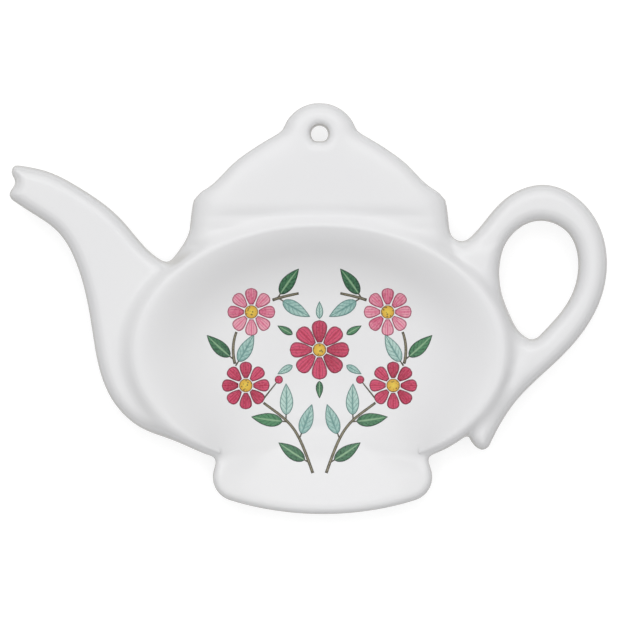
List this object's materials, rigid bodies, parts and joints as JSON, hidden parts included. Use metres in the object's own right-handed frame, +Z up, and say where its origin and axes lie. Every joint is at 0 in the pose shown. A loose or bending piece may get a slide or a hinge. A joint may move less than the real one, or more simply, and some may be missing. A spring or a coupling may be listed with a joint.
{
  "type": "tea bag rest",
  "caption": "Shallow glazed ceramic dish in the outline of a teapot, with a flower print in its well and a hole in the knob for hanging; holds a used tea bag.",
  "frame": {"origin": "middle of the bounding box, at the height of the surface that the foot ring stands on", "axes": "+Z up out of the well, +X from the spout to the handle, +Y towards the lid and knob"},
  "size_m": [0.16, 0.1102, 0.015],
  "materials": {
    "body": "white earthenware under a clear gloss glaze",
    "underside_glaze": "clear gloss glaze pooled inside the foot ring",
    "print_stems": "grey-brown fired transfer colour, glossy",
    "print_green_leaves": "dark green fired transfer colour, glossy",
    "print_blue_leaves": "pale blue-green fired transfer colour, glossy",
    "print_crimson_petals": "crimson fired transfer colour, glossy",
    "print_pink_petals": "pink fired transfer colour, glossy",
    "print_yellow_centres": "yellow fired transfer colour, glossy"
  },
  "bodies": {
    "root": {"body": "body", "underside_glaze": "underside_glaze", "print_stems": "print_stems", "print_green_leaves": "print_green_leaves", "print_blue_leaves": "print_blue_leaves", "print_crimson_petals": "print_crimson_petals", "print_pink_petals": "print_pink_petals", "print_yellow_centres": "print_yellow_centres"}
  },
  "joints": []
}
